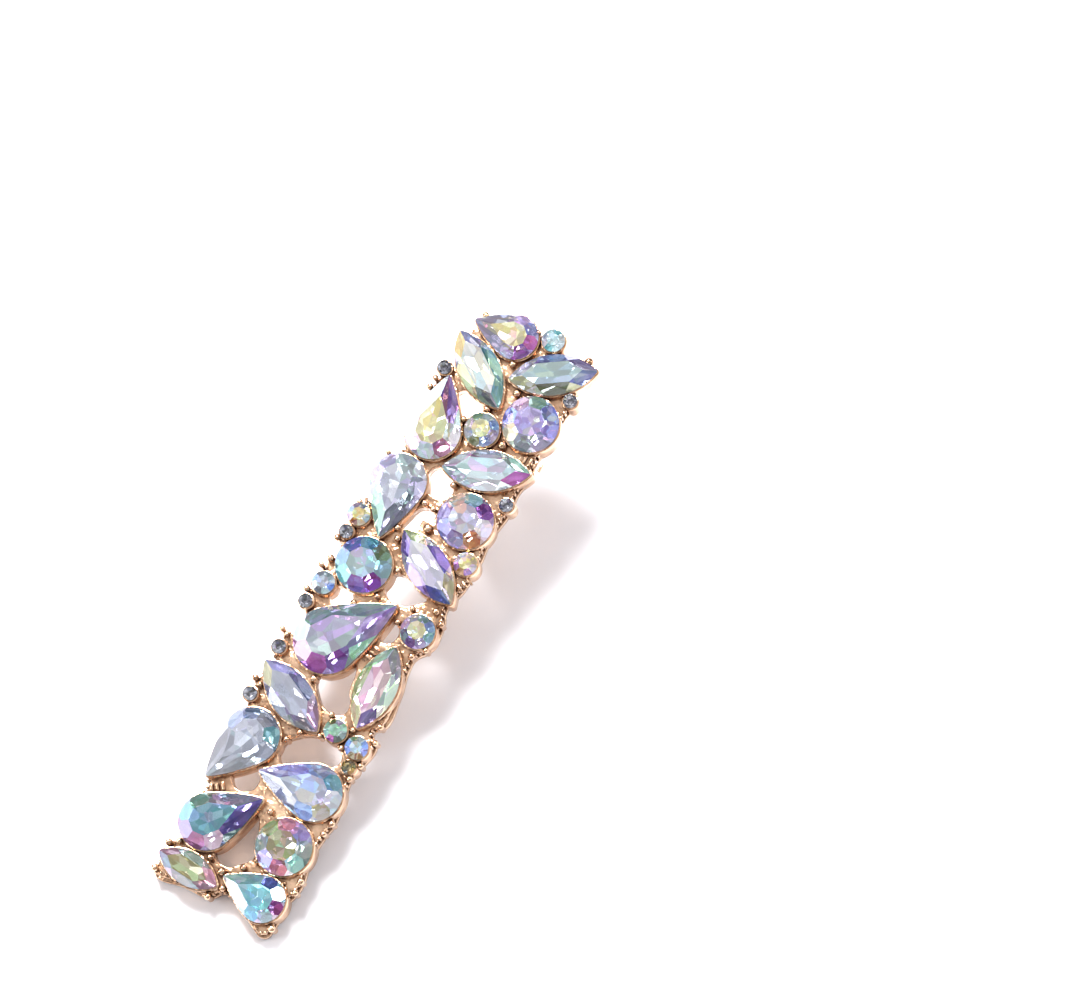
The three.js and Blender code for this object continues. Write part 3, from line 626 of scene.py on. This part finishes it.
# The stud
# A domed pad is soldered to the back of the web near its top end. A round collar bead stands on the pad,
# and the straight wire pin, with a rounded tip, goes through the ear.
STUD_STEPS = 32
PAD_SINK = 0.3
PAD_WALL = 0.15
PAD_SHOULDER = (0.93, 0.42)
PAD_DOME_FOOT = 0.1
PAD_DOME_TURNS = (0.45, 0.65, 0.85)
COLLAR_FOOT_TURN, COLLAR_NECK_TURN = 140, 15.5
COLLAR_STEPS = 12
PIN_FILLET = 0.06
PIN_TIP_TURNS = (0.4, 0.8, 1.2)

stud_bm = bmesh.new()
collar = PAD_HEIGHT + COLLAR_HEIGHT - COLLAR_RADIUS
neck = asin(PIN_RADIUS / COLLAR_RADIUS)
profile = [(0, -PAD_SINK), (PAD_RADIUS, -PAD_SINK), (PAD_RADIUS, PAD_WALL)]
profile += [(PAD_RADIUS * PAD_SHOULDER[0], PAD_SHOULDER[1])]
profile += [(PAD_RADIUS * cos(t), PAD_DOME_FOOT + (PAD_HEIGHT - PAD_DOME_FOOT) * sin(t))
            for t in PAD_DOME_TURNS]
for i in range(COLLAR_STEPS + 1):
    t = radians(COLLAR_FOOT_TURN - (COLLAR_FOOT_TURN - COLLAR_NECK_TURN) * i / COLLAR_STEPS)
    profile += [(COLLAR_RADIUS * sin(t), collar + COLLAR_RADIUS * cos(t))]
profile += [(PIN_RADIUS, collar + COLLAR_RADIUS * cos(neck) + PIN_FILLET),
            (PIN_RADIUS, STUD_REACH - PIN_RADIUS)]
profile += [(PIN_RADIUS * cos(t), STUD_REACH - PIN_RADIUS * (1 - sin(t))) for t in PIN_TIP_TURNS]
profile += [(0, STUD_REACH)]
chain = [stud_bm.verts.new((x, 0, -y)) for x, y in profile]
lines = [stud_bm.edges.new(pair) for pair in zip(chain, chain[1:])]
bmesh.ops.spin(stud_bm, geom=chain + lines, cent=(0, 0, 0), axis=(0, 0, 1), angle=2 * pi, steps=STUD_STEPS,
               use_merge=True)
bmesh.ops.remove_doubles(stud_bm, verts=stud_bm.verts, dist=WELD_DISTANCE)
bmesh.ops.recalc_face_normals(stud_bm, faces=stud_bm.faces)
bmesh.ops.translate(stud_bm, vec=(*STUD_PLACE, 0), verts=stud_bm.verts)
metal_piece("stud_post", stud_bm, material=polished_gold)

# The stones
# Cut crystal with a pale iridescent coat: clear, faintly tinted glass over a bright foil back. Each facet of
# crown and back is tinted by itself with a colour of its own: painted flashes of the coat's colours, and
# painted light and dark reflections on the back.
CROWN_SLOPE = radians(41)
BREAK_SLOPE = radians(51)
PAVILION_BREAK_SLOPE = radians(48)
THINNESS = 0.72
FOIL_PALENESS = 0.35
TABLE_SHARE = 0.15
# How much brighter or darker than its colour a facet may be: painted light and shade on the facets.
MAIN_GAINS = (0.6, 1.45)
CROWN_BREAK_GAINS = (0.7, 1.3)
BREAK_GAINS = (0.6, 1.45)
HEEL_GAINS = (0.55, 1.4)
FOIL_EDGE = 0.1
FINEST_CUT = 1e-6
HEEL_SLOPE = radians(25)
STAR_SLOPE = radians(24)
STAR_DROP_SHARE = 0.09
CROWN_SHARE = 0.215
PLAIN_CUT_WIDTH = 3.0
FACETS = {
    "round": {
        "mains": [0, 45, 90, 135, 180, 225, 270, 315],
        "breaks": [22.5, 67.5, 112.5, 157.5, 202.5, 247.5, 292.5, 337.5],
        "heels": [],
    },
    "pear": {
        "mains": [60, 90, 135, 180, 225, 270, 300],
        "breaks": [68, 77, 112, 158, 202, 248, 283, 292],
        "heels": [0, 22, 42, 318, 338],
    },
    "navette": {"mains": [52, 90, 128, 232, 270, 308], "breaks": [70, 110, 250, 290],
                "heels": [0, 30, 150, 180, 210, 330]},
}
FLASHES = {
    "white": (1.0, 1.0, 1.0),
    "ice": (0.70, 0.90, 0.92),
    "straw": (1.0, 0.93, 0.42),
    "silver": (0.68, 0.71, 0.80),
    "smoke": (0.28, 0.28, 0.32),
    "slate": (0.20, 0.26, 0.42),
    "navy": (0.03, 0.05, 0.28),
    "blue": (0.24, 0.42, 0.90),
    "periwinkle": (0.36, 0.40, 0.88),
    "lilac": (0.60, 0.48, 0.88),
    "violet": (0.28, 0.18, 0.62),
    "purple": (0.32, 0.09, 0.50),
    "magenta": (0.54, 0.05, 0.38),
    "pink": (0.92, 0.56, 0.76),
    "rose": (0.72, 0.30, 0.40),
    "maroon": (0.36, 0.07, 0.20),
    "copper": (0.62, 0.22, 0.08),
    "amber": (0.70, 0.40, 0.10),
    "olive": (0.44, 0.42, 0.18),
    "lime": (0.60, 0.80, 0.26),
    "mint": (0.45, 0.80, 0.58),
    "aqua": (0.30, 0.78, 0.82),
    "teal": (0.14, 0.46, 0.55),
}
# The backs may also take white and silver for painted bright reflections, and smoke and slate for painted
# dark ones.
CONTRASTS = ["white", "white", "silver", "silver", "smoke", "slate"]
GLASS_INDEX = 1.55
DRIFT_SCALE, DRIFT_DETAIL, DRIFT_RANGE = 520, 1, (0.3, 0.7)
CELL_SCALE = 800
CELL_HUE_SHARE = 0.15
PAINTED_GLOW_DEPTH = 2.0


def crystal_coat(name, roughness, transmission, metallic, spread, painted_glow, cells=0.0):
    """Facets tinted by their attribute, a painted flash for each. The tint drifts a little, and cells split
    it into smaller painted flashes.

    The glow is painted light: an emission in each facet's own, deepened colour, which brightens the stones
    beyond what the lamps give them.
    """
    material, nodes, links, shader = principled(name)
    flash = nodes.new("ShaderNodeAttribute")
    flash.attribute_name = "tint"
    place = nodes.new("ShaderNodeTexCoord")
    drift = add_noise(nodes, links, place, DRIFT_SCALE, DRIFT_DETAIL)
    shift = nodes.new("ShaderNodeHueSaturation")
    links.new(add_range(nodes, links, drift, DRIFT_RANGE, (0.5 - spread, 0.5 + spread)), shift.inputs["Hue"])
    links.new(flash.outputs["Color"], shift.inputs["Color"])
    colour = shift.outputs["Color"]
    if cells:
        mosaic = nodes.new("ShaderNodeTexVoronoi")
        mosaic.inputs["Scale"].default_value = CELL_SCALE
        links.new(place.outputs["Object"], mosaic.inputs["Vector"])
        split = nodes.new("ShaderNodeSeparateColor")
        links.new(mosaic.outputs["Color"], split.inputs["Color"])
        turn = cells * CELL_HUE_SHARE
        hue = add_range(nodes, links, split.outputs["Red"], (0, 1), (0.5 - turn, 0.5 + turn))
        value = add_range(nodes, links, split.outputs["Green"], (0, 1), (1 - cells, 1 + cells))
        vary = nodes.new("ShaderNodeHueSaturation")
        links.new(hue, vary.inputs["Hue"])
        links.new(value, vary.inputs["Value"])
        links.new(colour, vary.inputs["Color"])
        colour = vary.outputs["Color"]
    links.new(colour, shader.inputs["Base Color"])
    # Painted light: the stones glow in their deepened facet colours, as if lit from within.
    deepen = nodes.new("ShaderNodeGamma")
    deepen.inputs["Gamma"].default_value = PAINTED_GLOW_DEPTH
    links.new(colour, deepen.inputs["Color"])
    links.new(deepen.outputs["Color"], shader.inputs["Emission Color"])
    shader.inputs["Emission Strength"].default_value = painted_glow
    shader.inputs["Roughness"].default_value = roughness
    shader.inputs["Transmission Weight"].default_value = transmission
    shader.inputs["Metallic"].default_value = metallic
    shader.inputs["IOR"].default_value = GLASS_INDEX
    return material


crown_coat = crystal_coat("crystal_crown", roughness=0.02, transmission=1.0, metallic=0.24, spread=0.02,
                          painted_glow=0.17)
foil_back = crystal_coat("crystal_foil", roughness=0.05, transmission=0.0, metallic=1.0, spread=0.04,
                         painted_glow=0.06, cells=0.1)
clear_crown = crystal_coat("clear_crystal_crown", roughness=0.02, transmission=1.0, metallic=0.05,
                           spread=0.01, painted_glow=0.0)


def thin(colour):
    """A tint as it shows on glass, which light passes twice."""
    return [channel**THINNESS for channel in colour]


def blend(a, b, share, gain=1.0):
    return [min(1.0, (x * (1 - share) + y * share) * gain) for x, y in zip(a, b)]


def silvered(colour, gain):
    """A tint as it shows on the foil, which most light meets twice."""
    return blend(thin(colour), FLASHES["white"], FOIL_PALENESS, gain)


def cut_facet(bm, facing, reach, slope, side, drop):
    """Cuts one facet and gives it back, or None where it leaves nothing of its own."""
    found = bmesh.ops.bisect_plane(
        bm, geom=[*bm.verts, *bm.edges, *bm.faces], dist=FINEST_CUT, clear_outer=True,
        plane_co=(facing.x * reach, facing.y * reach, -drop),
        plane_no=(facing.x * sin(slope), facing.y * sin(slope), side * cos(slope)),
    )
    rim = [item for item in found["geom_cut"] if isinstance(item, bmesh.types.BMEdge) and item.is_boundary]
    made = bmesh.ops.edgeloop_fill(bm, edges=rim)["faces"] if len(rim) > 2 else []
    return made[0] if made else None


def cut_stone(name, cut, place, table, crown, luck):
    shape, _, width = CUTS[cut]
    bm = bmesh.new()
    tint = bm.loops.layers.float_color.new("tint")
    edge = outline(cut, 0)
    blank_depth = pavilion_depth(cut) + GIRDLE_THICKNESS
    base = bm.faces.new([bm.verts.new((point.x, point.y, -blank_depth)) for point in reversed(edge)])
    grown = bmesh.ops.extrude_face_region(bm, geom=[base])["geom"]
    bmesh.ops.translate(bm, vec=(0, 0, blank_depth + width * CROWN_SHARE),
                        verts=[item for item in grown if isinstance(item, bmesh.types.BMVert)])
    bm.faces.ensure_lookup_table()
    bmesh.ops.recalc_face_normals(bm, faces=bm.faces)
    shade = bm.faces.layers.int.new("shade")
    shades = [thin(FLASHES[table])]
    for face in bm.faces:
        face[shade] = 0

    def facet(degrees, slope, side, drop, colour):
        facing = Vector((cos(radians(degrees)), sin(radians(degrees))))
        made = cut_facet(bm, facing, max(point.dot(facing) for point in edge), slope, side, drop)
        if made:
            shades.append(colour)
            made[shade] = len(shades) - 1
            made.material_index = 1 if side < 0 else 0

    facets = FACETS[shape]
    flashes = [FLASHES[word] for word in crown.split()]
    for degrees, colour in zip(facets["mains"], flashes):
        facet(degrees, CROWN_SLOPE, 1, 0, thin(colour))
    backs = [*flashes, *[FLASHES[word] for word in CONTRASTS], FLASHES[table]]
    for degrees in facets["mains"]:
        facet(degrees, PAVILION_SLOPE, -1, GIRDLE_THICKNESS,
              silvered(blend(luck.choice(backs), FLASHES[table], TABLE_SHARE), luck.uniform(*MAIN_GAINS)))
    if width > PLAIN_CUT_WIDTH:
        for i, degrees in enumerate(facets["breaks"]):
            near = flashes[i % len(flashes)]
            far = flashes[(i + 1) % len(flashes)]
            facet(degrees, BREAK_SLOPE, 1, 0, thin(blend(near, far, 0.5, luck.uniform(*CROWN_BREAK_GAINS))))
        for degrees in facets["breaks"]:
            facet(degrees, PAVILION_BREAK_SLOPE, -1, GIRDLE_THICKNESS,
                  silvered(luck.choice(backs), luck.uniform(*BREAK_GAINS)))
        for degrees in facets["heels"]:
            facet(degrees, HEEL_SLOPE, -1, GIRDLE_THICKNESS,
                  silvered(luck.choice(backs), luck.uniform(*HEEL_GAINS)))
        for degrees in facets["breaks"]:
            facet(degrees, STAR_SLOPE, -1, GIRDLE_THICKNESS + width * STAR_DROP_SHARE,
                  silvered(luck.choice(backs), luck.uniform(*HEEL_GAINS)))
    for face in bm.faces:
        for corner in face.loops:
            corner[tint] = (*shades[face[shade]], 1)
        if face.calc_center_median().z < -GIRDLE_THICKNESS * FOIL_EDGE:
            face.material_index = 1
    bmesh.ops.transform(bm, matrix=panel_matrix @ place, verts=bm.verts)
    bmesh.ops.recalc_face_normals(bm, faces=bm.faces)
    stone = finish_mesh(name + "_cut", bm, clear_crown if cut == "tiny_round" else crown_coat, foil_back)
    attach(stone, "root")
    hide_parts(name)


LUCK_SEED = 31
STONE_HEIGHT = RIM_HEIGHT + GIRDLE_LIFT + GIRDLE_THICKNESS
luck = random.Random(LUCK_SEED)
for number, (cut, across, along, turn, table, crown) in enumerate(STONES, 1):
    place = on_panel(across, along, turn, STONE_HEIGHT)
    cut_stone(f"{cut}_stone_{number:02}", cut, place, table, crown, luck)
